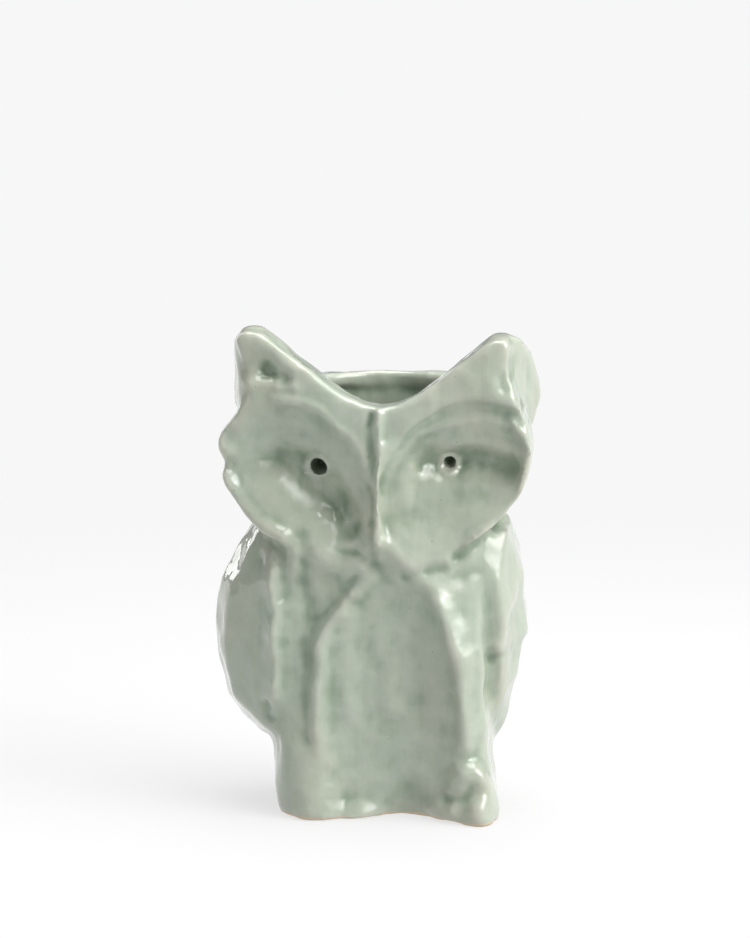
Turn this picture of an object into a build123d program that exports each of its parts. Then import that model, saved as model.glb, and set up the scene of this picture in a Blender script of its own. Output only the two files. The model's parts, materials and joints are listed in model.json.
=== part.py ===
from build123d import *
import os

# A hand-built owl vase in glazed stoneware, as the lumps and slabs of clay that a potter lutes together.
# Millimetres. +Z is up, the origin is on the table under the middle of the vessel, and the owl faces -Y.
# Left and right are the owl's own, so its left is at +X.

# Vessel
FLOOR_THICK = 7
WALL_THICK = 7
SHOULDER_Z = 140
CROWN_UNDER_Z = 209
CROWN_TOP_Z = 217
MOUTH_RADIUS = 39
MOUTH_BACK = 1
MOUTH_FLARE = 22
EAR_TOP_Z = 249

# Depths in front of the origin, towards -Y
FACE_BACK = 34
FACE_FRONT = 54
BROW_BACK = 39
BROW_FRONT = 52
BEAK_ROOT = 40
BEAK_FRONT = 61
BREAST_BACK = 20
BREAST_FRONT = 46
BREAST_DEEPEST = 41

# Ovals of the vessel, bottom to top: height, half width, half depth, how far the middle lies behind the origin
TORSO_OVALS = [
    (FLOOR_THICK, 53, 41, 4),
    (70, 55, 43, 4),
    (SHOULDER_Z, 54, 45, 3),
]
HEAD_OVALS = [
    (SHOULDER_Z, 56, 47, 2),
    (175, 64, 48, 2),
    (CROWN_UNDER_Z, 70, 48, 2),
]


def oval(height, half_width, half_depth, back, shrink=0):
    """A flat oval at a height, optionally drawn in by a wall's thickness."""
    return Pos(0, back, height) * Ellipse(half_width - shrink, half_depth - shrink)


def oval_stack(ovals, shrink=0):
    """A solid that blends through a stack of ovals."""
    return loft(Sketch() + [oval(*o, shrink=shrink) for o in ovals])


def front_slab(outline, back, front):
    """A slab seen from the front: an outline in X and Z, from one depth in front of the origin to another."""
    return extrude(Plane.XZ.offset(back) * make_face(outline), amount=front - back)


def lean_post(*ovals):
    """A post through ovals whose middles wander: height, middle x, middle y, half width, half depth."""
    return loft(Sketch() + [Pos(x, y, z) * Ellipse(a, b) for z, x, y, a, b in ovals])


# The vessel: a floor slab, a torso wall, a wider head wall and a crown slab with the round mouth cut in it.
torso_mass = oval_stack(TORSO_OVALS)
torso_wall = torso_mass - oval_stack(TORSO_OVALS, WALL_THICK)

head_mass = oval_stack(HEAD_OVALS)
head_wall = head_mass - oval_stack(HEAD_OVALS, WALL_THICK)

floor_slab = extrude(oval(0, 53, 41, 4), amount=FLOOR_THICK)

mouth = Pos(0, MOUTH_BACK, CROWN_TOP_Z) * Cylinder(MOUTH_RADIUS, 4 * WALL_THICK)
crown_mass = extrude(oval(CROWN_UNDER_Z, 70, 48, 2), amount=CROWN_TOP_Z - CROWN_UNDER_Z)
crown_slab = crown_mass - mouth

vessel = torso_mass + head_mass + crown_mass + floor_slab

# The open space over the mouth, which widens upwards and keeps the brows and ear tufts off the way in.
flare_height = EAR_TOP_Z + 4 - CROWN_TOP_Z
mouth_flare = Pos(0, MOUTH_BACK, CROWN_TOP_Z + flare_height / 2) * Cone(
    MOUTH_RADIUS, MOUTH_RADIUS + MOUTH_FLARE, flare_height
)

# The beak: a sharp upright ridge between the eyes, deepest at its tip.
beak_ridge = ConvexPolyhedron(
    [
        (-5, -BEAK_ROOT, 212),
        (5, -BEAK_ROOT, 212),
        (0, -54, 212),
        (-7, -BEAK_ROOT, 150),
        (7, -BEAK_ROOT, 150),
        (0, -BEAK_FRONT, 150),
        (0, -BEAK_FRONT, 140),
        (-3, -BEAK_ROOT, 131),
        (3, -BEAK_ROOT, 131),
    ]
) - vessel

# The brows: bands of clay that rise from the beak to the ear tips and overhang the eye hollows.
right_brow_top = Spline((0, 213), (-8, 213.5), (-30, 226), (-58, 248))
right_brow_side = Polyline((-58, 248), (-64, 246), (-67, 231), (-65, 216))
right_brow_arch = Spline((-65, 216), (-46, 218), (-29, 212), (-13, 198), (0, 176))
right_brow = front_slab(
    right_brow_top + right_brow_side + right_brow_arch + Line((0, 176), (0, 213)),
    BROW_BACK,
    BROW_FRONT,
)
left_brow_top = Spline((0, 213), (9, 213.5), (30, 226), (55, 247))
left_brow_side = Polyline((55, 247), (62, 246), (66, 226), (68, 206))
left_brow_arch = Spline((68, 206), (55, 212), (36, 209), (16, 195), (0, 172))
left_brow = front_slab(
    left_brow_top + left_brow_side + left_brow_arch + Line((0, 172), (0, 213)),
    BROW_BACK,
    BROW_FRONT,
)
right_brow = right_brow - vessel - beak_ridge - mouth_flare
left_brow = left_brow - vessel - beak_ridge - mouth_flare

# The face discs: thick slabs of clay, dished by a thumb, with a poked pit for each eye.
RIGHT_EYE = (-31, 182)
LEFT_EYE = (34.5, 184)
RIGHT_PIT_RADIUS, RIGHT_RING_RADIUS = 4.2, 5.6
LEFT_PIT_RADIUS, LEFT_RING_RADIUS = 3.1, 4.4
EYE_PIT_BACK = 36
EYE_RING_FRONT = 48

right_disc_rim = Spline(
    (-65, 216), (-80, 196), (-79, 180), (-68, 154), (-42, 138), (0, 131)
)
left_disc_rim = Spline(
    (68, 206), (75, 194), (73, 175), (60, 154), (36, 139), (0, 131)
)
right_disc = front_slab(
    right_brow_arch + Line((0, 176), (0, 131)) + right_disc_rim, FACE_BACK, FACE_FRONT
)
left_disc = front_slab(
    left_brow_arch + Line((0, 172), (0, 131)) + left_disc_rim, FACE_BACK, FACE_FRONT
)
DISH_RADIUS = 60
DISH_DEEPEST = 45
DISH_BELOW_EYE = 8


def dish(eye):
    """The thumbed hollow round an eye, deepest a little below it."""
    x, z = eye
    return Pos(x, -(DISH_DEEPEST + DISH_RADIUS), z - DISH_BELOW_EYE) * Sphere(DISH_RADIUS)


def eye_post(eye, radius):
    """A round post from the bottom of the eye pit out through the face."""
    depth = EYE_RING_FRONT - EYE_PIT_BACK
    middle = -(EYE_RING_FRONT + EYE_PIT_BACK) / 2
    return Pos(eye[0], middle, eye[1]) * Rot(90, 0, 0) * Cylinder(radius, depth)


def eye_ring(eye, pit_radius, ring_radius):
    """The collar of clay raised round an eye pit."""
    return eye_post(eye, ring_radius) - eye_post(eye, pit_radius) - vessel


right_face_disc = right_disc - vessel - beak_ridge - right_brow - dish(RIGHT_EYE)
right_face_disc -= eye_post(RIGHT_EYE, RIGHT_RING_RADIUS)
left_face_disc = left_disc - vessel - beak_ridge - left_brow - dish(LEFT_EYE)
left_face_disc -= eye_post(LEFT_EYE, LEFT_RING_RADIUS)
right_eye_ring = eye_ring(RIGHT_EYE, RIGHT_PIT_RADIUS, RIGHT_RING_RADIUS)
left_eye_ring = eye_ring(LEFT_EYE, LEFT_PIT_RADIUS, LEFT_RING_RADIUS)

mask = beak_ridge + right_brow + left_brow + right_disc + left_disc

# The ear tufts: lumps on the corners of the head that run back to the rim of the mouth.
right_ear_tuft = ConvexPolyhedron(
    [
        (-58, -42, EAR_TOP_Z - 2),
        (-68, -40, EAR_TOP_Z),
        (-74, -28, 244),
        (-64, -26, 246),
        (-67, -45, 214),
        (-76, -34, 206),
        (-78, -8, 222),
        (-74, 14, 214),
        (-60, 26, 221),
        (-33, 30, 218),
        (-64, -20, 188),
        (-66, 8, 192),
        (-40, -30, 212),
        (-40, 20, 212),
    ]
)
left_ear_tuft = ConvexPolyhedron(
    [
        (55, -42, EAR_TOP_Z - 3),
        (62, -40, EAR_TOP_Z - 1),
        (70, -28, 244),
        (62, -24, 245),
        (69, -45, 208),
        (77, -30, 226),
        (80, 4, 218),
        (72, 16, 204),
        (60, 26, 221),
        (33, 30, 218),
        (64, -20, 186),
        (66, 8, 190),
        (40, -30, 212),
        (40, 20, 212),
    ]
)
right_ear_tuft = right_ear_tuft - vessel - mask - mouth_flare
left_ear_tuft = left_ear_tuft - vessel - mask - mouth_flare

# The breast: an apron of clay on the front of the torso, scraped to a shallow hollow.
breast_side = Polyline((-3, 131), (-22, 103))
breast_edge = Spline((-22, 103), (-31, 74), (-31, 36), (-10, 4))
breast_far_edge = Spline((30, 4), (41, 28), (38, 64), (28, 102), (16, 131))
breast_outline = (
    breast_side
    + breast_edge
    + Line((-10, 4), (30, 4))
    + breast_far_edge
    + Line((16, 131), (-3, 131))
)
SCRAPE_RADIUS = 60
SCRAPE_MIDDLE_X = 5
breast_scrape = Pos(SCRAPE_MIDDLE_X, -(BREAST_DEEPEST + SCRAPE_RADIUS), SHOULDER_Z / 2) * Cylinder(
    SCRAPE_RADIUS, SHOULDER_Z + WALL_THICK
)
breast_panel = front_slab(breast_outline, BREAST_BACK, BREAST_FRONT)
breast_panel = breast_panel - vessel - mask - breast_scrape

# The legs and feet: upright ridges beside the breast that spread into two feet.
right_leg = lean_post((0, -38, -20, 16, 22), (50, -42, -20, 13, 20), (134, -42, -18, 12, 18))
left_leg = lean_post((0, 45, -22, 13, 21), (50, 45, -20, 12, 20), (134, 42, -18, 12, 18))
right_leg = right_leg - vessel - mask - breast_panel
left_leg = left_leg - vessel - mask - breast_panel

right_foot = lean_post((0, -28, -28, 22, 21), (14, -30, -27, 19, 18), (26, -34, -26, 13, 12))
left_foot = lean_post((0, 44, -35, 15, 20), (16, 46, -34, 13, 16), (32, 48, -30, 8, 9))
right_foot = right_foot - vessel - breast_panel - right_leg
left_foot = left_foot - vessel - breast_panel - left_leg

# The wings: lumps trimmed with a knife into flat facets, folded against the torso.
right_wing = ConvexPolyhedron(
    [
        (-62, -28, 149),
        (-66, 12, 150),
        (-60, -37, 136),
        (-77, -12, 132),
        (-74, 22, 134),
        (-50, -38, 122),
        (-68, -36, 114),
        (-87, -6, 106),
        (-80, 28, 108),
        (-50, 42, 112),
        (-51, -37, 80),
        (-70, -34, 84),
        (-88, -4, 88),
        (-83, 28, 82),
        (-52, 42, 78),
        (-54, -30, 48),
        (-70, -26, 56),
        (-83, 0, 55),
        (-74, 26, 52),
        (-54, 36, 46),
        (-58, -4, 33),
        (-64, 10, 36),
        (-42, -20, 48),
        (-42, 24, 50),
        (-44, 0, 140),
    ]
)
left_wing = ConvexPolyhedron(
    [
        (50, -36, 138),
        (62, -24, 149),
        (64, 12, 150),
        (70, -8, 124),
        (66, 26, 130),
        (52, -38, 118),
        (62, -36, 104),
        (74, -6, 92),
        (72, 28, 98),
        (50, 42, 108),
        (54, -36, 84),
        (66, -26, 74),
        (72, 4, 78),
        (68, 30, 72),
        (50, 40, 70),
        (54, -28, 54),
        (63, -14, 50),
        (63, 12, 44),
        (56, 30, 46),
        (54, -4, 34),
        (42, -20, 52),
        (42, 24, 50),
        (42, 0, 140),
    ]
)
right_wing = right_wing - vessel - mask - right_leg
left_wing = left_wing - vessel - mask - left_leg

parts = {
    "floor_slab": floor_slab,
    "torso_wall": torso_wall,
    "head_wall": head_wall,
    "crown_slab": crown_slab,
    "beak_ridge": beak_ridge,
    "right_brow": right_brow,
    "left_brow": left_brow,
    "right_face_disc": right_face_disc,
    "left_face_disc": left_face_disc,
    "right_eye_ring": right_eye_ring,
    "left_eye_ring": left_eye_ring,
    "right_ear_tuft": right_ear_tuft,
    "left_ear_tuft": left_ear_tuft,
    "breast_panel": breast_panel,
    "right_leg": right_leg,
    "left_leg": left_leg,
    "right_foot": right_foot,
    "left_foot": left_foot,
    "right_wing": right_wing,
    "left_wing": left_wing,
}

os.makedirs("parts", exist_ok=True)
for name, shape in parts.items():
    export_step(shape, f"parts/{name}.step")
    print(f"{name}: {len(shape.solids())} solid(s), {shape.volume / 1000:.1f} cm3")
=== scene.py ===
import bpy
import json
import math
import numpy as np
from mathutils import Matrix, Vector


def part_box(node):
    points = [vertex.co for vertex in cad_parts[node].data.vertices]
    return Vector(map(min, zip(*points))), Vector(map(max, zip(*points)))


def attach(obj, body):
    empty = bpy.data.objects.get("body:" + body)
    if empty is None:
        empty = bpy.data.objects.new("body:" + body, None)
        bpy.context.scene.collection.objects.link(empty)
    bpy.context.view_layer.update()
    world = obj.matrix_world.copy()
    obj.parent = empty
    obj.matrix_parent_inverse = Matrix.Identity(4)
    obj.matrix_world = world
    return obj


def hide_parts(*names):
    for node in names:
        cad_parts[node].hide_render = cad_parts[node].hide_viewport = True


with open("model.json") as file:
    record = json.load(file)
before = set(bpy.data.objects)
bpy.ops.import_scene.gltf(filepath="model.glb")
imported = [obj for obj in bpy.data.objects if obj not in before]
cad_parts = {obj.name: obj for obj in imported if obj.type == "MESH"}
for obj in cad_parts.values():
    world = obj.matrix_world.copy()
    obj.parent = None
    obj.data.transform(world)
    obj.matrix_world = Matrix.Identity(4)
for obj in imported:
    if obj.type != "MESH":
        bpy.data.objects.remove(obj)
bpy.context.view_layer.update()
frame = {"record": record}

# Sizes in this file are the maker's millimetres, turned into metres by MM where a mesh is made.
# The owl faces -Y, and its left is at +X.
MM = 0.001

# ---------------------------------------------------------------------------------------------------
# The camera stands a little to the owl's left and above its head, and looks down at it from afar.
camera_data = bpy.data.cameras.new("camera")
camera_data.lens = 150
camera_data.sensor_width = 36
camera_data.sensor_fit = "VERTICAL"
camera_data.sensor_height = 36
camera_data.clip_end = 20
camera = bpy.data.objects.new("camera", camera_data)
bpy.context.scene.collection.objects.link(camera)
camera.location = (0.1711, -1.9558, 0.5066)
look_at = Vector((-0.007, 0.008, 0.171))
camera.rotation_euler = (look_at - camera.location).to_track_quat("-Z", "Y").to_euler()
bpy.context.scene.camera = camera

# ---------------------------------------------------------------------------------------------------
# The studio: a white paper floor in a pale grey room. A very large soft box stands high on the owl's
# left, with a small one beside it, one hangs overhead, a weak one fills from the front right, and a
# narrow one stands behind on the right. The paper glows a little, which keeps its shadows faint.
bpy.ops.object.select_all(action="DESELECT")


def plain_material(name, colour, roughness):
    material = bpy.data.materials.new(name)
    material.use_nodes = True
    shader = material.node_tree.nodes["Principled BSDF"]
    shader.inputs["Base Color"].default_value = (*colour, 1)
    shader.inputs["Roughness"].default_value = roughness
    return material


def paper_material():
    """White paper: matt near the owl, where it takes a shadow, and evenly bright further away."""
    material = plain_material("white_paper", (0.62, 0.62, 0.62), 0.9)
    nodes, links = material.node_tree.nodes, material.node_tree.links
    place = nodes.new("ShaderNodeTexCoord")
    distance = nodes.new("ShaderNodeVectorMath")
    distance.operation = "LENGTH"
    fade = nodes.new("ShaderNodeMapRange")
    fade.interpolation_type = "SMOOTHSTEP"
    fade.inputs["From Min"].default_value = 0.25
    fade.inputs["From Max"].default_value = 0.9
    fade.inputs["To Min"].default_value = 0.72
    fade.inputs["To Max"].default_value = 1
    glow = nodes.new("ShaderNodeEmission")
    glow.inputs["Color"].default_value = (0.93, 0.93, 0.93, 1)
    mix = nodes.new("ShaderNodeMixShader")
    links.new(place.outputs["Object"], distance.inputs[0])
    links.new(distance.outputs["Value"], fade.inputs["Value"])
    links.new(fade.outputs["Result"], mix.inputs["Fac"])
    links.new(nodes["Principled BSDF"].outputs["BSDF"], mix.inputs[1])
    links.new(glow.outputs["Emission"], mix.inputs[2])
    links.new(mix.outputs["Shader"], nodes["Material Output"].inputs["Surface"])
    return material


bpy.ops.mesh.primitive_grid_add(x_subdivisions=2, y_subdivisions=2, size=60)
floor = bpy.context.object
floor.name = "paper_floor"
floor.data.materials.append(paper_material())


def soft_box(name, place, target, size, power, faded=False):
    """A rectangular soft box that faces a target. A faded one is brightest in its middle."""
    light = bpy.data.lights.new(name, "AREA")
    light.shape = "RECTANGLE"
    light.size, light.size_y = size
    light.energy = power
    if faded:
        light.use_nodes = True
        nodes, links = light.node_tree.nodes, light.node_tree.links
        across = nodes.new("ShaderNodeNewGeometry")
        from_middle = nodes.new("ShaderNodeVectorMath")
        from_middle.operation = "DISTANCE"
        from_middle.inputs[1].default_value = (0.5, 0.5, 0)
        fade = nodes.new("ShaderNodeMapRange")
        fade.interpolation_type = "SMOOTHSTEP"
        fade.inputs["From Min"].default_value = 0.5
        fade.inputs["From Max"].default_value = 0.1
        links.new(across.outputs["Parametric"], from_middle.inputs[0])
        links.new(from_middle.outputs["Value"], fade.inputs["Value"])
        links.new(fade.outputs["Result"], nodes["Emission"].inputs["Strength"])
    box = bpy.data.objects.new(name, light)
    bpy.context.scene.collection.objects.link(box)
    box.location = place
    box.rotation_euler = (Vector(target) - Vector(place)).to_track_quat("-Z", "Y").to_euler()


owl_middle = (0, 0, 0.12)
soft_box("key_box", (2.2, -0.8, 1.7), owl_middle, (4.6, 4.0), 418, faded=True)
soft_box("fill_box", (-1.5, -2.0, 0.8), owl_middle, (2.4, 2.4), 15)
soft_box("spark_box", (1.9, -1.0, 1.3), owl_middle, (0.4, 0.5), 7)
soft_box("top_box", (0.1, 0.2, 2.2), owl_middle, (1.8, 1.8), 54)
soft_box("side_box", (-1.3, 1.3, 0.8), owl_middle, (0.5, 1.2), 6)

world = bpy.data.worlds.new("pale_room")
world.use_nodes = True
world.node_tree.nodes["Background"].inputs["Color"].default_value = (1, 1, 1, 1)
world.node_tree.nodes["Background"].inputs["Strength"].default_value = 0.24
bpy.context.scene.world = world
bpy.context.scene.view_settings.view_transform = "Standard"

# ---------------------------------------------------------------------------------------------------
# The vessel: a floor slab and two coiled walls, torso and head, closed in by a crown slab. It is one
# tall oval stack of soft clay, wider at the head.
def top_of(node):
    """Height of the top of a CAD node, in millimetres."""
    return round(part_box(node)[1].z / MM, 1)


FLOOR_TOP = top_of("floor_slab")
TORSO_TOP = top_of("torso_wall")
HEAD_TOP = top_of("head_wall")
CROWN_TOP = top_of("crown_slab")
VESSEL_OVALS = (
    # height, half width, half depth, how far back its middle lies
    (0, 51, 41, 4),
    (12, 53, 42, 4),
    (TORSO_TOP / 2, 55, 44, 4),
    (TORSO_TOP, 56, 46, 3),
    ((TORSO_TOP + HEAD_TOP) / 2, 64, 47, 2),
    (HEAD_TOP, 69, 46, 2),
    (CROWN_TOP, 67, 44.5, 2),
)


def deselect():
    if bpy.context.mode != "OBJECT":
        bpy.ops.object.mode_set(mode="OBJECT")
    bpy.ops.object.select_all(action="DESELECT")


def settle(name):
    """Leaves edit mode and puts the object's place into its mesh."""
    lump = bpy.context.object
    if lump.mode == "EDIT":
        bpy.ops.object.mode_set(mode="OBJECT")
    bpy.ops.object.transform_apply(location=True, rotation=True, scale=True)
    lump.name = name
    return lump


def coil_wall(name, ovals):
    """A wall coiled up from oval to oval, closed at both ends."""
    deselect()
    height, half_width, half_depth, back = ovals[0]
    bpy.ops.mesh.primitive_circle_add(vertices=72, radius=MM, fill_type="NGON", enter_editmode=True)
    bpy.ops.transform.resize(value=(half_width, half_depth, 1))
    bpy.ops.transform.translate(value=(0, back * MM, height * MM))
    for lower, upper in zip(ovals, ovals[1:]):
        step = (0, (upper[3] - lower[3]) * MM, (upper[0] - lower[0]) * MM)
        bpy.ops.mesh.extrude_region_move(TRANSFORM_OT_translate={"value": step})
        bpy.ops.transform.resize(
            value=(upper[1] / lower[1], upper[2] / lower[2], 1),
            center_override=(0, upper[3] * MM, upper[0] * MM),
        )
    bpy.ops.mesh.select_all(action="SELECT")
    bpy.ops.mesh.normals_make_consistent(inside=False)
    return settle(name)


lumps = [coil_wall("vessel", VESSEL_OVALS)]


# ---------------------------------------------------------------------------------------------------
# Clay lumps with flat sides, patted into shape: the skin stretched over a few corners.
def patted_lump(name, corners):
    deselect()
    bpy.ops.mesh.primitive_circle_add(vertices=len(corners), radius=MM)
    lump = bpy.context.object
    for vertex, corner in zip(lump.data.vertices, corners):
        vertex.co = Vector(corner) * MM
    bpy.ops.object.mode_set(mode="EDIT")
    bpy.ops.mesh.select_all(action="SELECT")
    bpy.ops.mesh.convex_hull()
    bpy.ops.mesh.normals_make_consistent(inside=False)
    return settle(name)


def slab(name, outline, back, front):
    """A slab cut to an outline in X and Z, standing between two depths in front of the origin."""
    deselect()
    bpy.ops.mesh.primitive_circle_add(vertices=len(outline), radius=MM, fill_type="NGON")
    blank = bpy.context.object
    for vertex, (x, z) in zip(blank.data.vertices, outline):
        vertex.co = Vector((x, -back, z)) * MM
    bpy.ops.object.mode_set(mode="EDIT")
    bpy.ops.mesh.select_all(action="SELECT")
    bpy.ops.mesh.extrude_region_move(
        TRANSFORM_OT_translate={"value": (0, (back - front) * MM, 0)}
    )
    bpy.ops.mesh.select_all(action="SELECT")
    bpy.ops.mesh.normals_make_consistent(inside=False)
    return settle(name)


def ball(name, middle, radii, turn=(0, 0, 0)):
    """A ball of clay, or the hollow of one, with its own radius each way and a turn in degrees."""
    deselect()
    bpy.ops.mesh.primitive_uv_sphere_add(
        segments=64,
        ring_count=32,
        radius=MM,
        location=Vector(middle) * MM,
        rotation=[math.radians(angle) for angle in turn],
        scale=radii,
    )
    return settle(name)


# ---------------------------------------------------------------------------------------------------
# The face: two wide discs and the brows above them, one thick slab of clay on each side of the beak,
# leaning back from the beak to the outer edge.
PROW = 56  # how far in front of the origin the face stands at the beak
RIGHT_EDGE = 44  # and at the outer edge of each side
LEFT_EDGE = 53
BACK = 24  # where the back of the slab lies
FACE_HALF_WIDTH = 78
right_side = [
    # x, z of the slab's edge on the owl's right, from the ear tip down to the beak
    (-60, 248), (-68, 249), (-73, 244), (-70, 236), (-66, 228), (-67, 216), (-72, 206), (-80, 196),
    (-81.5, 190), (-77.5, 182), (-79, 174), (-75, 166), (-67, 154), (-58, 147), (-46, 141), (-38, 136),
]
left_side = [
    (36, 138), (50, 147), (62, 156), (69, 165), (73.5, 176), (75.5, 189), (75, 200), (71.5, 211),
    (67, 221), (64, 231), (66, 241), (64, 247), (57, 247),
]


def lean(x):
    """Depth of the face's surface at a distance from the beak, before it is scooped."""
    edge = LEFT_EDGE if x > 0 else RIGHT_EDGE
    return PROW + (edge - PROW) * min(abs(x) / FACE_HALF_WIDTH, 1)


def face_slab(name, edge):
    """One side of the face: a slab with its front leaned back from the beak to the edge."""
    blank = slab(name, edge, BACK, PROW)
    for vertex in blank.data.vertices:
        if vertex.co.y < -(BACK + 1) * MM:
            vertex.co.y = -lean(vertex.co.x / MM) * MM
    return blank


brow_top_right = [(0, 212.5), (-8, 213.5), (-18, 217.5), (-28, 224), (-39, 233), (-50, 241.5)]
brow_top_left = [(50, 242.5), (41, 235), (30, 225.5), (20, 218.5), (9, 213.5), (0, 212.5)]
lumps.append(face_slab("right_face", brow_top_right + right_side + [(-24, 142), (-8, 140), (0, 128)]))
lumps.append(face_slab("left_face", [(0, 128), (10, 130), (24, 132)] + left_side + brow_top_left))

# The beak is a sharp roll pressed up between the discs.
lumps.append(patted_lump("beak", [
    (-4, -50, 213), (6, -50, 213), (0.5, -58, 210),
    (-5, -48, 150), (7, -48, 150), (0.5, -61, 160), (0, -58, 142),
    (-4, -42, 124), (4, -42, 124), (0, -50, 127),
]))

# ---------------------------------------------------------------------------------------------------
# The ear tufts: lumps on the corners of the head. Each runs back from its tip as a fin to the rim.
lumps.append(patted_lump("right_ear", [
    (-59, -42, 247), (-67, -40, 249.5), (-74, -32, 243), (-77, -14, 238), (-77, -12, 206),
    (-70, -40, 206), (-67, -44, 216), (-72, 12, 222), (-66, 20, 200), (-60, -10, 186),
    (-36, 34, 216), (-52, 6, 231), (-50, 30, 214), (-44, -20, 214), (-58, -44, 216),
]))
lumps.append(patted_lump("left_ear", [
    (56, -42, 246), (63, -40, 248), (70, -32, 246), (74, -16, 237), (78.5, -4, 219), (78.5, -6, 212),
    (76, -10, 200), (70, -14, 187), (66, -44, 216), (70, 14, 204), (72, 10, 222), (60, 8, 228),
    (36, 34, 216), (50, 30, 214), (44, -20, 214), (60, 0, 186),
]))

# ---------------------------------------------------------------------------------------------------
# The wings: lumps trimmed with a knife into facets and folded against the torso.
lumps.append(patted_lump("right_wing", [
    (-60, -30, 150), (-66, 10, 150), (-49, -42, 132), (-55, -44, 127), (-54, -46, 98), (-54, -44, 62),
    (-56, -37, 42), (-50, -43, 92), (-50, -40, 52), (-76, -10, 133), (-84, -6, 117), (-88, -4, 103),
    (-88.5, -2, 90), (-87.5, 0, 72),
    (-82.5, 0, 54), (-76, 0, 44), (-65, -4, 36), (-58, 0, 31), (-80, -27, 108), (-82, -24, 84),
    (-76, -25, 58), (-70, 24, 134), (-84, 24, 104), (-84, 26, 80), (-74, 26, 52), (-50, 37, 120),
    (-46, 41, 76), (-48, 30, 40), (-40, -20, 60), (-40, 20, 140),
]))
lumps.append(patted_lump("left_wing", [
    (46, -38, 138), (62, -26, 147), (62, 10, 150), (66, -8, 137), (70, -6, 122), (71, -4, 106),
    (72.5, -2, 88), (60, -38, 120), (63, -37, 100), (60, -36, 86), (54, -37, 120), (53, -36, 90),
    (66, 26, 130), (70, 28, 98), (52, 42, 108), (66, 28, 74), (50, 40, 70), (40, -20, 90), (40, 20, 140),
]))
lumps.append(patted_lump("left_wing_tip", [
    (55, -33, 88), (62, -31, 86), (70, -6, 84), (69, -4, 72), (64, -4, 58), (63, -6, 48), (60, -6, 41),
    (54, -4, 32), (54, -28, 52), (61, -24, 60), (64, 24, 74), (58, 26, 44), (40, -10, 60), (44, 24, 60),
]))

# ---------------------------------------------------------------------------------------------------
# The legs: upright ridges beside the breast.
lumps.append(patted_lump("right_leg", [
    (-54, -14, 0), (-58, -14, 40), (-50, -14, 120), (-52, -30, 0), (-55, -30, 40), (-51, -34, 120),
    (-46, -40, 0), (-50, -42, 40), (-48, -44, 80), (-49, -43, 112), (-38, -44, 10), (-37, -45, 40),
    (-37, -44, 96),
    (-20, -44, 120), (-20, -20, 0), (-20, -30, 130), (-30, -20, 134),
]))
lumps.append(patted_lump("left_leg", [
    (57, -8, 0), (53, -8, 40), (50, -10, 120), (53, -42, 40), (52, -44, 90), (50, -40, 124),
    (29, -51, 112), (39, -51, 84), (43, -50, 58), (44, -49, 36), (22, -50, 126), (38, -42, 136),
    (36, -20, 0), (20, -20, 130), (42, -46, 10), (54, -40, 10),
]))
# The chest fills the space from the legs up to the face, which overhangs it only a little.
lumps.append(patted_lump("chest", [
    (-54, -36, 152), (-46, -43, 134), (-44, -40, 96), (-30, -47, 140), (-8, -49, 132), (-20, -42, 96),
    (54, -34, 154), (46, -41, 136), (30, -45, 138), (8, -49, 132), (40, -43, 100), (0, -40, 152),
    (-46, -20, 90), (50, -20, 90), (-54, -10, 152), (54, -10, 152),
]))
# The breast is an apron of clay laid on the chest. Its edge stands proud, and its middle is scraped.
breast_edge_right = [
    (2, 132), (-6.5, 127), (-15.5, 116.5), (-28, 101.5), (-33, 90), (-34, 76), (-34, 44), (-30, 30),
    (-25, 22), (-9, 8), (-6, 0),
]
breast_edge_left = [
    (20, 0), (24, 12), (34, 26), (42, 37), (41, 54), (38.5, 83), (33, 103), (27.5, 116), (20.5, 130),
]
lumps.append(slab("breast", breast_edge_right + breast_edge_left, 20, 49))

# ---------------------------------------------------------------------------------------------------
# Luting: the lumps are pressed into one another and their joints wiped smooth.
def apply_modifier(lump, kind, **settings):
    deselect()
    bpy.context.view_layer.objects.active = lump
    lump.select_set(True)
    bpy.ops.object.modifier_add(type=kind)
    modifier = lump.modifiers[-1]
    for setting, value in settings.items():
        setattr(modifier, setting, value)
    bpy.ops.object.modifier_apply(modifier=modifier.name)


def lute(name, lumps, grain):
    """Joins lumps into one skin with an even grain of faces."""
    deselect()
    for lump in lumps:
        lump.select_set(True)
    bpy.context.view_layer.objects.active = lumps[0]
    bpy.ops.object.join()
    body = bpy.context.object
    body.name = name
    apply_modifier(body, "REMESH", mode="VOXEL", voxel_size=grain * MM)
    return body


def cut(body, tool, operation="DIFFERENCE"):
    """Cuts the tool's shape from the body, or keeps only what is inside it."""
    apply_modifier(body, "BOOLEAN", object=tool, operation=operation, solver="MANIFOLD")
    bpy.data.objects.remove(tool)


clay = lute("clay", lumps, 2.0)
apply_modifier(clay, "SMOOTH", factor=0.5, iterations=4)

# The dip between the brows is cut through to the mouth.
dip = [(58, 248.5)] + brow_top_left + brow_top_right[1:] + [(-60, 249), (-60, 270), (58, 270)]
cut(clay, slab("dip", dip, 28, 80))
# The eye hollows, scooped with a wide round tool held flat to the face, so the brows stand over them.
right_turn = math.degrees(math.atan((PROW - RIGHT_EDGE) / FACE_HALF_WIDTH))
left_turn = math.degrees(math.atan((PROW - LEFT_EDGE) / FACE_HALF_WIDTH))
cut(clay, ball("right_scoop", (-49.5, -lean(49.5), 166), (49.5, 12, 53.5), (0, 0, -right_turn)))
cut(clay, ball("left_scoop", (49, -lean(49), 164), (48.5, 12, 53), (0, 0, left_turn)))
# The breast, scraped hollow between the legs.
cut(clay, ball("breast_scrape", (4, -57, 36), (42, 18, 108)))
# The gap between the feet.
cut(clay, ball("toe_gap", (12, -50, -12), (19, 18, 44)))

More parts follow.
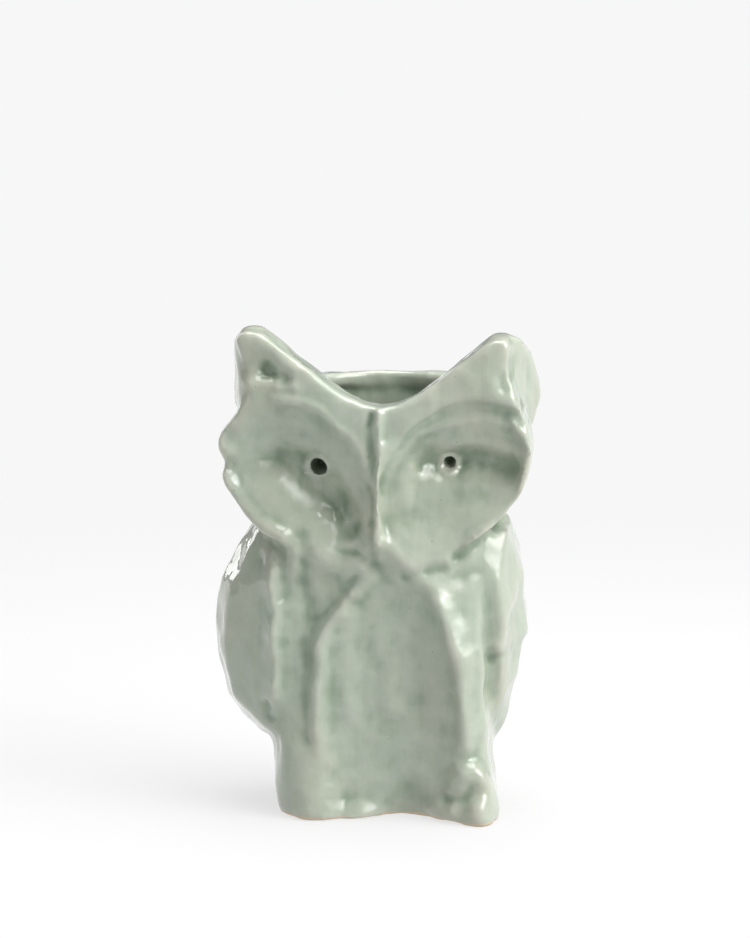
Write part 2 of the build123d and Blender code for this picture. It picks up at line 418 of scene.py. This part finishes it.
# The inside, and the round mouth with its undercut rim.
CHAMBER_OVALS = (
    (FLOOR_TOP + 1, 45, 34, 4),
    (TORSO_TOP / 2, 48, 36, 4),
    (TORSO_TOP, 48, 37, 3),
    ((TORSO_TOP + HEAD_TOP) / 2, 50, 32, 6),
    (HEAD_TOP + 1, 50, 38, 3),
)
cut(clay, coil_wall("chamber", CHAMBER_OVALS))
deselect()
mouth = next(mount for mount in frame["record"]["mounts"] if mount["name"] == "mouth")
RIM_DEPTH = 9
MOUTH_DEPTH = 120
bpy.ops.mesh.primitive_cylinder_add(
    vertices=96,
    radius=mouth["dims"]["r_mm"] * MM,
    depth=MOUTH_DEPTH * MM,
    location=(mouth["pos_m"][0], mouth["pos_m"][1], (HEAD_TOP - RIM_DEPTH + MOUTH_DEPTH / 2) * MM),
)
cut(clay, settle("mouth"))

# The feet are pressed on last: a round lobe under the right leg, a knot of small lumps on the left.
right_foot = ball("right_foot", (-30, -24, -10), (21, 28.5, 75), (0, -11, 0))
right_toe = ball("right_toe", (-12, -23, -6), (19, 25, 24))
left_foot = patted_lump("left_foot", [
    (58, -8, 0), (59.5, -38, 0), (58, -50, 0), (52, -55.5, 0), (42, -52.5, 0), (31, -43.5, 0), (20, -34, 0),
    (59.5, -36, 8), (58, -44, 16), (55, -50, 24), (49, -51, 32), (42, -50, 27), (36, -46, 14),
    (54, -30, 34), (42, -30, 34), (20, -20, 0), (15, -30, 0), (22, -38, 14), (29, -42, 27),
])
feet = [right_foot, right_toe, left_foot]
for foot in feet:
    cut(foot, slab("below_ground", [(-90, -90), (90, -90), (90, 0), (-90, 0)], -90, 90))
clay = lute("clay", [clay] + feet, 1.6)
apply_modifier(clay, "SMOOTH", factor=0.5, iterations=3)
# Round the feet the joints are wiped until they almost vanish.
FOOT_JOINTS_TOP = 44
FOOT_JOINTS_BACK = 20
low = clay.vertex_groups.new(name="low")
wiped = [
    vertex.index
    for vertex in clay.data.vertices
    if vertex.co.z < FOOT_JOINTS_TOP * MM and vertex.co.y < -FOOT_JOINTS_BACK * MM
]
low.add(wiped, 1, "REPLACE")
apply_modifier(clay, "SMOOTH", factor=0.5, iterations=18, vertex_group="low")


# ---------------------------------------------------------------------------------------------------
# Modelling by hand: fingers and a wooden tool drag the clay in and out along short paths.
def near_path(places, path):
    """Distance of each place from the nearest point of a path through straight runs."""
    nearest = np.full(len(places), np.inf)
    path = np.asarray(path, float)
    if len(path) == 1:
        return np.linalg.norm(places - path[0], axis=1)
    for start, end in zip(path, path[1:]):
        run = end - start
        along = np.clip((places - start) @ run / (run @ run), 0, 1)
        away = np.linalg.norm(places - start - along[:, None] * run, axis=1)
        nearest = np.minimum(nearest, away)
    return nearest


# A stroke over the front touches clay in front of a depth, where its surface looks forward.
STROKE_DEPTH = 22
LOOKS_FORWARD = 0.15
# The hand shakes a little: this far, over runs of about this length.
SHAKE = 0.8
SHAKE_RUN = 4.5


def drag(body, path, push, reach, falloff="SMOOTH", grip=1.0):
    """Drags the clay by push along a path. A path of x and z runs over the front of the owl."""
    mesh = body.data
    places = np.empty(3 * len(mesh.vertices))
    mesh.vertices.foreach_get("co", places)
    places = places.reshape(-1, 3) / MM
    if len(path[0]) == 2:
        normals = np.empty(3 * len(mesh.vertices))
        mesh.vertices.foreach_get("normal", normals)
        front = (places[:, 1] < -STROKE_DEPTH) & (normals.reshape(-1, 3)[:, 1] < -LOOKS_FORWARD)
        seen = places[:, [0, 2]]
        shaken = seen + SHAKE * np.sin(seen[:, ::-1] / SHAKE_RUN)
        held = front & (near_path(shaken, path) < grip)
    else:
        held = near_path(places, path) < grip
    deselect()
    bpy.context.view_layer.objects.active = body
    mesh.polygons.foreach_set("select", np.zeros(len(mesh.polygons), bool))
    mesh.edges.foreach_set("select", np.zeros(len(mesh.edges), bool))
    mesh.vertices.foreach_set("select", held)
    bpy.ops.object.mode_set(mode="EDIT")
    bpy.ops.transform.translate(
        value=Vector(push) * MM,
        use_proportional_edit=True,
        proportional_edit_falloff=falloff,
        proportional_size=reach * MM,
    )
    bpy.ops.object.mode_set(mode="OBJECT")


IN = Vector((0, 1, 0))
OUT = Vector((0, -1, 0))
# The foot of each disc is drawn forward, so that it catches the light from above.
drag(clay, [(-62, 160), (-50, 148), (-36, 141)], OUT * 5, 24)
drag(clay, [(-26, 136), (-11, 133)], OUT * 3, 11)
drag(clay, [(62, 166), (50, 152), (30, 144), (14, 140)], OUT * 4, 20)
# The deepest valleys of the eye hollows, thumbed down past the eyes to the beak.
drag(clay, [(-52, 188), (-42, 183), (-30, 172), (-20, 162), (-12, 150)], IN * 4.5, 24)
drag(clay, [(-50, 186), (-38, 180), (-29, 171), (-21, 163)], IN * 3.8, 13)
drag(clay, [(-21, 163), (-14, 154)], IN * 2.0, 11)
drag(clay, [(-43, 171), (-34, 164), (-25, 157)], IN * 1.1, 9)
drag(clay, [(-10, 150), (-7, 141), (-5, 135)], IN * 1.5, 7)
drag(clay, [(26, 182), (44, 181), (58, 179)], IN * 4.5, 23)
drag(clay, [(24, 184), (44, 184), (62, 182)], IN * 4.5, 11)
# Inside each brow the tool went round again, and left a low step.
brow_step = [(-53, 216), (-41, 214), (-28, 210), (-14, 198), (-7, 186), (-3.6, 173), (-3.2, 157)]
drag(clay, brow_step, OUT * 1.4, 3.2)
drag(clay, [(-48, 209), (-40, 208), (-30, 204), (-18, 194), (-12, 182), (-9, 168)], IN * 1.0, 7)
drag(clay, [(4, 173), (9, 188), (20, 197), (34, 204), (52, 206.5), (64, 205)], OUT * 1.0, 3)
drag(clay, [(12.5, 164), (13.5, 176), (21.5, 187), (37.5, 191.5), (60, 191)], OUT * 1.2, 6)
drag(clay, [(-58, 190.5), (-45, 191), (-36, 189.5)], OUT * 1.0, 6)
# The beak is pinched: a crease on its right, a sharp crest, a dent at its root.
drag(clay, [(-4, 200), (-4.5, 186), (-4.5, 170), (-4, 152)], IN * 1.2, 4, "SHARP")
drag(clay, [(1, 210), (1, 190), (0.5, 160), (0, 136)], OUT * 2.0, 4.5, "SHARP")
drag(clay, [(-2.5, 208), (-3, 204)], IN * 2.5, 3)
# The rolled edge of the left disc, and the slit under it.
drag(clay, [(67, 206), (73, 196), (74, 184), (70, 166), (61, 153), (45, 143)], OUT * 3, 5, "SHARP")
drag(clay, [(38, 137), (46, 141), (54, 146)], IN * 2.4, 5)
drag(clay, [(30, 131), (22, 128), (14, 127)], IN * 1.5, 5)
# The rolled edge of the right disc runs down into the leg; the chest beside it lies a little deeper.
drag(clay, [(-77, 176), (-71, 162), (-60.5, 151), (-49, 147)], OUT * 2.4, 6)
drag(clay, [(-49, 147), (-44, 140), (-44.5, 128)], OUT * 1.6, 7)
drag(clay, [(-44.5, 130), (-44, 112)], OUT * 1.0, 7)
drag(clay, [(-37, 146), (-38, 126), (-36, 102)], IN * 1.8, 6)
drag(clay, [(-26, 122), (-30, 110)], IN * 1.2, 12)
# The outer edge of the right disc is ragged, pinched in and out.
for z, push in ((205, 1.6), (197, -1.4), (189, 1.8), (181, -1.6), (172, 1.6)):
    drag(clay, [(-76, z)], OUT * push, 6)
# A fold in front of the right ear, and a pinch in front of the left one.
drag(clay, [(-63, 231), (-58, 230)], IN * 3.4, 11)
drag(clay, [(-56, 229), (-47, 226)], IN * 1.9, 7)
drag(clay, [(-67, 221), (-54, 224), (-43, 221)], OUT * 1.4, 4)
drag(clay, [(62, 229), (62, 222)], IN * 2.0, 5)
# Grooves beside the breast, and the marks of the tool that smoothed it downwards.
drag(clay, [(-36, 96), (-35.5, 66), (-35, 42)], IN * 1.3, 6)
drag(clay, [(-16, 119), (-7, 127), (-1, 131)], IN * 1.2, 5)
drag(clay, [(-15, 115), (-27, 100), (-31.5, 90), (-32, 76), (-32, 44), (-28, 30)], OUT * 1.6, 9)
drag(clay, [(-11, 117), (-3, 126)], OUT * 1.8, 6)
drag(clay, [(30, 113), (35.5, 101), (41, 83), (43.5, 56), (44.5, 40)], OUT * 2.6, 8)
# The front edge of the right wing.
drag(clay, [(-54, 130), (-53, 100), (-52.5, 64)], OUT * 2.4, 9)
drag(clay, [(-54, 128), (-53, 100), (-52.5, 68)], OUT * 1.4, 4)
drag(clay, [(-16, 106), (-17, 77), (-14, 50)], OUT * 1.7, 8)
drag(clay, [(1, 94), (6.5, 58)], OUT * 1.2, 8)
drag(clay, [(19, 96), (21, 46)], IN * 1.0, 9)
# The pit under the right wing, and the fold across the left one.
drag(clay, [(-58, 57), (-57.5, 51)], IN * 3.0, 5)
drag(clay, [(54, 82), (62, 84.5), (71, 89)], IN * 2.0, 5)
drag(clay, [(54, 77), (55.5, 61)], IN * 2.0, 7)
# The back was paddled into upright flats.
BACK_AND_SIDES = ((-22, 52), (24, 52), (-44, 38), (46, 36))
for x, y in BACK_AND_SIDES:
    drag(clay, [(x, y, 30), (x * 1.05, y, 110), (x * 1.2, y, 190)], (0, -2.2, 0), 15, grip=4.0)
# The left foot is a knot of small lumps.
drag(clay, [(38, 20), (42, 26)], OUT * 3.0, 9)
drag(clay, [(52, 27)], OUT * 1.4, 8)
drag(clay, [(51, 7)], OUT * 2.0, 9)
drag(clay, [(30, 5), (36, 6)], OUT * 3.5, 9)
drag(clay, [(47, 17), (44, 14), (53, 16)], IN * 1.3, 6)
drag(clay, [(35, 13)], IN * 0.9, 5)

# The strokes are wiped over with a wet sponge.
apply_modifier(clay, "REMESH", mode="VOXEL", voxel_size=1.1 * MM)
apply_modifier(clay, "SMOOTH", factor=0.5, iterations=2)


def patting(name, kind, size, depth):
    """The unevenness that fingers leave all over soft clay."""
    texture = bpy.data.textures.new(name, kind)
    texture.noise_scale = size * MM
    apply_modifier(clay, "DISPLACE", texture=texture, strength=depth * MM, texture_coords="LOCAL")


patting("palm_pats", "CLOUDS", 26, 2.0)
patting("finger_pats", "VORONOI", 19, 1.5)
patting("skin", "CLOUDS", 6, 0.3)


# The eyes are pits poked with a round stick, each with a collar of clay that the stick raised.
STICK_LENGTH = 24
RING_POINTS = 16


def eye_pit(name, middle, radius, bottom):
    """The stick's rounded end, which reaches in to a depth in front of the origin."""
    x, z = middle
    return ball(name, (x, -bottom - STICK_LENGTH, z), (radius, STICK_LENGTH, radius))


def eye_middle(node, lower):
    """X and Z of an eye, a little lower than its CAD ring."""
    low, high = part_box(node)
    middle = (low + high) / 2 / MM
    return middle.x, middle.z - lower


RIGHT_EYE, LEFT_EYE = eye_middle("right_eye_ring", 2.0), eye_middle("left_eye_ring", 1.5)


def ring_path(middle, radius):
    """Points round an eye."""
    x, z = middle
    turns = [step * math.tau / RING_POINTS for step in range(RING_POINTS + 1)]
    return [(x + radius * math.cos(turn), z + radius * math.sin(turn)) for turn in turns]


drag(clay, ring_path(RIGHT_EYE, 5.4), OUT * 1.4, 2.4, "SMOOTH", grip=0.7)
drag(clay, ring_path(LEFT_EYE, 4.4), OUT * 1.2, 2.2, "SMOOTH", grip=0.7)
cut(clay, eye_pit("right_pit", RIGHT_EYE, 5.0, 26))
cut(clay, eye_pit("left_pit", LEFT_EYE, 4.0, 27))
cut(clay, slab("ground", [(-200, -60), (200, -60), (200, 0), (-200, 0)], -200, 200))


# ---------------------------------------------------------------------------------------------------
# How deep the glaze lies: it runs off the ridges and pools in the hollows before it is fired. The same
# value also darkens the hollows with painted shade.
def pool_glaze_and_paint_shade(body, iterations=90, full=1.8):
    """Stores 0 on a sharp ridge, 0.5 on the flat and 1 in a hollow, from how far the clay lies inside
    its own smoothed skin."""
    deselect()
    body.select_set(True)
    bpy.context.view_layer.objects.active = body
    bpy.ops.object.duplicate()
    smoothed = bpy.context.object
    apply_modifier(smoothed, "SMOOTH", factor=0.5, iterations=iterations)
    count = len(body.data.vertices)
    place, normal, smooth_place = (np.empty(3 * count) for _ in range(3))
    body.data.vertices.foreach_get("co", place)
    body.data.vertices.foreach_get("normal", normal)
    smoothed.data.vertices.foreach_get("co", smooth_place)
    bpy.data.objects.remove(smoothed)
    depth = ((smooth_place - place) * normal).reshape(-1, 3).sum(axis=1) / MM
    glaze_pool_and_shade = np.clip(0.5 + 0.5 * depth / np.where(depth < 0, 1.7 * full, full), 0, 1)
    layer = body.data.attributes.new("glaze_pool_and_shade", "FLOAT_COLOR", "POINT")
    layer.data.foreach_set("color", np.stack([glaze_pool_and_shade, glaze_pool_and_shade, glaze_pool_and_shade, np.ones(count)], axis=1).ravel())


pool_glaze_and_paint_shade(clay)


def glaze_material():
    """Celadon: a clear grey-green glass over pale stoneware, green where it pools, with painted shade
    in the hollows, thin on the ridges, mottling, specks of iron, pinholes and a rippled, glossy skin."""
    material = bpy.data.materials.new("celadon_glaze")
    material.use_nodes = True
    nodes, links = material.node_tree.nodes, material.node_tree.links
    shader = nodes["Principled BSDF"]
    place = nodes.new("ShaderNodeTexCoord")

    def drawn_down(stretch):
        """Places with their heights squeezed, so that a pattern on them is drawn out downwards."""
        node = nodes.new("ShaderNodeMapping")
        node.inputs["Scale"].default_value = (1, 1, 1 / stretch)
        links.new(place.outputs["Object"], node.inputs["Vector"])
        return node.outputs["Vector"]

    def noise(scale, detail, roughness=0.5, distortion=0.0, places=place.outputs["Object"]):
        node = nodes.new("ShaderNodeTexNoise")
        node.inputs["Scale"].default_value = scale
        node.inputs["Detail"].default_value = detail
        node.inputs["Roughness"].default_value = roughness
        node.inputs["Distortion"].default_value = distortion
        links.new(places, node.inputs["Vector"])
        return node.outputs["Fac"]

    def math_node(operation, first, second):
        node = nodes.new("ShaderNodeMath")
        node.operation = operation
        for socket, value in zip(node.inputs, (first, second)):
            if isinstance(value, (int, float)):
                socket.default_value = value
            else:
                links.new(value, socket)
        return node.outputs[0]

    def grey(value):
        return (value, value, value)

    def ramp(factor, stops):
        node = nodes.new("ShaderNodeValToRGB")
        points = node.color_ramp.elements
        while len(points) < len(stops):
            points.new(0.5)
        for point, (position, colour) in zip(points, stops):
            point.position = position
            point.color = (*colour, 1)
        links.new(factor, node.inputs["Fac"])
        return node.outputs["Color"]

    def blend(kind, factor, under, over):
        node = nodes.new("ShaderNodeMix")
        node.data_type = "RGBA"
        node.blend_type = kind
        # A colour mix has its factor in socket 0 and its two colours in 6 and 7.
        for socket, value in zip((node.inputs[0], node.inputs[6], node.inputs[7]), (factor, under, over)):
            if isinstance(value, (int, float)):
                socket.default_value = value
            elif isinstance(value, tuple):
                socket.default_value = (*value, 1)
            else:
                links.new(value, socket)
        return node.outputs[2]

    # The glaze depth from the clay's shape: real pooling, and painted shade in the hollows.
    glaze_pool_and_shade = nodes.new("ShaderNodeAttribute")
    glaze_pool_and_shade.attribute_name = "glaze_pool_and_shade"
    cloud = noise(38, 4, 0.6, 0.6)
    runs = noise(115, 3, 0.55, 0.2, drawn_down(11))
    shifted = glaze_pool_and_shade.outputs["Fac"]
    for unevenness, share in ((cloud, 0.2), (runs, 0.3)):
        change = math_node("MULTIPLY", math_node("SUBTRACT", unevenness, 0.5), share)
        shifted = math_node("ADD", shifted, change)
    # Pale where the glaze runs thin, dark green in the hollows: the dark end is pooled glaze and painted
    # shade.
    colour = ramp(shifted, [
        (0.08, (0.48, 0.48, 0.41)),
        (0.32, (0.355, 0.39, 0.325)),
        (0.54, (0.30, 0.348, 0.28)),
        (0.70, (0.20, 0.258, 0.19)),
        (0.90, (0.09, 0.138, 0.088)),
    ])
    drift = ramp(noise(13, 2, 0.5, 0.8), [(0.42, grey(0.0)), (0.62, grey(0.6))])
    colour = blend("MIX", drift, colour, blend("MULTIPLY", 1.0, colour, (1.07, 0.985, 0.96)))
    mottle = ramp(noise(140, 3, 0.65), [(0.35, grey(0.97)), (0.65, grey(1.03))])
    colour = blend("MULTIPLY", 1.0, colour, mottle)

    def dots(scale, radius, share):
        """1 inside small round dots, one in a share of the cells."""
        cell = nodes.new("ShaderNodeTexVoronoi")
        cell.inputs["Scale"].default_value = scale
        links.new(place.outputs["Object"], cell.inputs["Vector"])
        pick = nodes.new("ShaderNodeSeparateColor")
        links.new(cell.outputs["Color"], pick.inputs["Color"])
        near = math_node("LESS_THAN", cell.outputs["Distance"], radius)
        return math_node("MULTIPLY", near, math_node("GREATER_THAN", pick.outputs[0], 1 - share))

    # Iron specks, and thin spots on the sharpest edges where the clay shows brown.
    colour = blend("MIX", math_node("MULTIPLY", dots(260, 0.09, 0.07), 0.55), colour, (0.10, 0.095, 0.06))
    thin = math_node("MULTIPLY", math_node("LESS_THAN", glaze_pool_and_shade.outputs["Fac"], 0.10), noise(60, 3, 0.6))
    colour = blend("MIX", math_node("MULTIPLY", thin, 0.5), colour, (0.36, 0.27, 0.16))
    # The glaze was wiped off along the foot, and shows a line of bare clay.
    height = nodes.new("ShaderNodeSeparateXYZ")
    links.new(place.outputs["Object"], height.inputs["Vector"])
    ragged = math_node("MULTIPLY", noise(60, 2), 0.0036)
    bare = math_node("LESS_THAN", height.outputs["Z"], ragged)
    colour = blend("MIX", bare, colour, (0.50, 0.42, 0.31))
    links.new(colour, shader.inputs["Base Color"])

    # Tool strokes ran downwards: the relief is drawn out along Z, with soft creases between the strokes.
    strokes = nodes.new("ShaderNodeTexVoronoi")
    strokes.inputs["Scale"].default_value = 62
    links.new(drawn_down(3.6), strokes.inputs["Vector"])
    ripple = noise(48, 2, 0.45, 0.5)
    peel = noise(420, 2)
    pinholes = math_node("MULTIPLY", dots(150, 0.09, 0.12), -0.3)
    relief = math_node("ADD", math_node("MULTIPLY", ripple, 0.8), math_node("MULTIPLY", peel, 0.04))
    relief = math_node("ADD", relief, math_node("MULTIPLY", strokes.outputs["Distance"], -0.9))
    relief = math_node("ADD", relief, pinholes)
    relief = math_node("ADD", relief, math_node("MULTIPLY", runs, 0.45))
    bump = nodes.new("ShaderNodeBump")
    bump.inputs["Strength"].default_value = 0.5
    bump.inputs["Distance"].default_value = 0.0012
    links.new(relief, bump.inputs["Height"])
    links.new(bump.outputs["Normal"], shader.inputs["Normal"])
    links.new(math_node("ADD", math_node("MULTIPLY", bare, 0.5), 0.3), shader.inputs["Roughness"])
    links.new(math_node("SUBTRACT", 1.0, bare), shader.inputs["Coat Weight"])
    shader.inputs["Coat Roughness"].default_value = 0.035
    shader.inputs["IOR"].default_value = 1.5
    shader.inputs["Specular IOR Level"].default_value = 0.1
    return material


clay.data.materials.clear()
clay.data.materials.append(glaze_material())


# ---------------------------------------------------------------------------------------------------
# The lumps are cut apart again along the lines where they were luted, so each is a piece by itself.
def box_zone(low, high):
    deselect()
    low, high = Vector(low), Vector(high)
    bpy.ops.mesh.primitive_cube_add(size=MM, location=(low + high) / 2 * MM, scale=high - low)
    return settle("zone")


def merged(solids):
    """One solid from several that overlap."""
    for solid in solids[1:]:
        cut(solids[0], solid, "UNION")
    return solids[0]


def take(name, solids):
    """Cuts the piece inside the solids out of the clay."""
    zone = merged(solids)
    deselect()
    clay.select_set(True)
    bpy.context.view_layer.objects.active = clay
    bpy.ops.object.duplicate()
    piece = bpy.context.object
    piece.name = name
    apply_modifier(piece, "BOOLEAN", object=zone, operation="INTERSECT", solver="MANIFOLD")
    cut(clay, zone)
    return piece


# A post round each eye starts inside its pit, near the bottom, and ends in front of the face.
POST_BACK = 31
POST_LENGTH = 80


def eye_zone(middle, radius):
    """A post from front to back round an eye."""
    deselect()
    x, z = middle
    bpy.ops.mesh.primitive_cylinder_add(
        vertices=48,
        radius=radius * MM,
        depth=POST_LENGTH * MM,
        location=Vector((x, -POST_BACK - POST_LENGTH / 2, z)) * MM,
        rotation=(math.pi / 2, 0, 0),
    )
    return settle("zone")


FAR = 100  # past the clay on every side
SHARP_ANGLE = math.radians(40)
# A copy of the whole body keeps the unbroken skin, and each piece takes its smoothness and its glaze depth
# with painted shade from it.
skin = clay.copy()
skin.data = clay.data.copy()
bpy.context.scene.collection.objects.link(skin)
deselect()
skin.select_set(True)
bpy.context.view_layer.objects.active = skin
bpy.ops.object.shade_smooth_by_angle(angle=SHARP_ANGLE)
pieces = [
    take("vase_right_eye_ring", [eye_zone(RIGHT_EYE, 5.8)]),
    take("vase_left_eye_ring", [eye_zone(LEFT_EYE, 4.7)]),
    take("vase_floor", [
        coil_wall("zone", ((-2, 54, 42, 4), (FLOOR_TOP, 54, 42, 4))),
        box_zone((-FAR, -8, -2), (FAR, FAR, FLOOR_TOP)),
    ]),
    take("vase_torso", [
        coil_wall("zone", (
            (FLOOR_TOP, 54, 42, 4),
            (TORSO_TOP / 2, 56, 44, 4),
            (TORSO_TOP, 55, 46, 3),
        )),
        box_zone((-52, 4, FLOOR_TOP), (52, FAR, TORSO_TOP)),
        box_zone((-FAR, -8, FLOOR_TOP), (FAR, FAR, 30)),
    ]),
    take("vase_head", [
        coil_wall("zone", ((TORSO_TOP, 56, 47, 2), (175, 64, 48, 2), (HEAD_TOP, 71, 49.5, 2))),
        box_zone((-FAR, -30, 155), (FAR, FAR, 186)),
        box_zone((-52, 0, TORSO_TOP), (52, FAR, 156)),
        box_zone((-50, 5, 180), (50, FAR, HEAD_TOP)),
    ]),
    take("vase_crown", [coil_wall("zone", ((HEAD_TOP, 71, 49.5, 2), (CROWN_TOP + 2, 71, 49.5, 2)))]),
]

right_arch = [(-66, 216), (-50, 218), (-30, 213), (-16, 202), (-5, 186), (0, 172)]
left_arch = [(0, 168), (5, 182), (16, 197), (32, 209), (48, 212.5), (66, 208)]
beak_outline = [(-6, 212), (-7, 160), (-4, 129), (4, 129), (7, 160), (6, 212)]
right_disc_outline = [
    (-FAR, 186), (-FAR, 160), (-70, 152), (-56, 144), (-38, 134), (0, 127), (0, 200), (-40, 224),
    (-FAR, 224),
]
left_disc_outline = [
    (FAR, 186), (FAR, 160), (68, 158), (54, 146), (38, 136), (0, 127), (0, 200), (40, 224), (FAR, 224),
]
pieces += [
    take("vase_beak", [slab("zone", beak_outline, 36, 90)]),
    take("vase_right_brow", [slab("zone", right_arch + [(0, 270), (-66, 270)], 39, 90)]),
    take("vase_left_brow", [slab("zone", left_arch + [(66, 270), (0, 270)], 39, 90)]),
    take("vase_right_face_disc", [slab("zone", right_disc_outline, 30, 90)]),
    take("vase_left_face_disc", [slab("zone", left_disc_outline, 30, 90)]),
    take("vase_right_ear_tuft", [box_zone((-FAR, -FAR, 170), (0, FAR, 300))]),
    take("vase_left_ear_tuft", [box_zone((0, -FAR, 170), (FAR, FAR, 300))]),
    take("vase_right_wing", [box_zone((-FAR, -FAR, 28), (-51, FAR, 200))]),
    take("vase_left_wing", [box_zone((51, -FAR, 28), (FAR, FAR, 200))]),
    take("vase_breast_panel", [slab("zone", breast_edge_right + breast_edge_left, 0, 90)]),
    take("vase_right_foot", [box_zone((-FAR, -FAR, -5), (0, 0, 26))]),
    take("vase_left_foot", [box_zone((0, -FAR, -5), (FAR, 0, 34))]),
    take("vase_left_leg", [box_zone((0, -FAR, 0), (FAR, FAR, 200))]),
]
clay.name = "vase_right_leg"
pieces.append(clay)

# The other pieces are named as their nodes are.
NODE_OF_PIECE = {
    "vase_floor": "floor_slab",
    "vase_torso": "torso_wall",
    "vase_head": "head_wall",
    "vase_crown": "crown_slab",
    "vase_beak": "beak_ridge",
}
for piece in pieces:
    deselect()
    piece.select_set(True)
    bpy.context.view_layer.objects.active = piece
    bpy.ops.object.shade_smooth_by_angle(angle=SHARP_ANGLE)
    apply_modifier(
        piece,
        "DATA_TRANSFER",
        object=skin,
        use_vert_data=True,
        data_types_verts={"COLOR_VERTEX"},
        vert_mapping="POLYINTERP_NEAREST",
        use_loop_data=True,
        data_types_loops={"CUSTOM_NORMAL"},
        loop_mapping="POLYINTERP_NEAREST",
    )
    node = NODE_OF_PIECE.get(piece.name, piece.name.removeprefix("vase_"))
    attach(piece, "root")
    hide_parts(node)

bpy.data.objects.remove(skin)
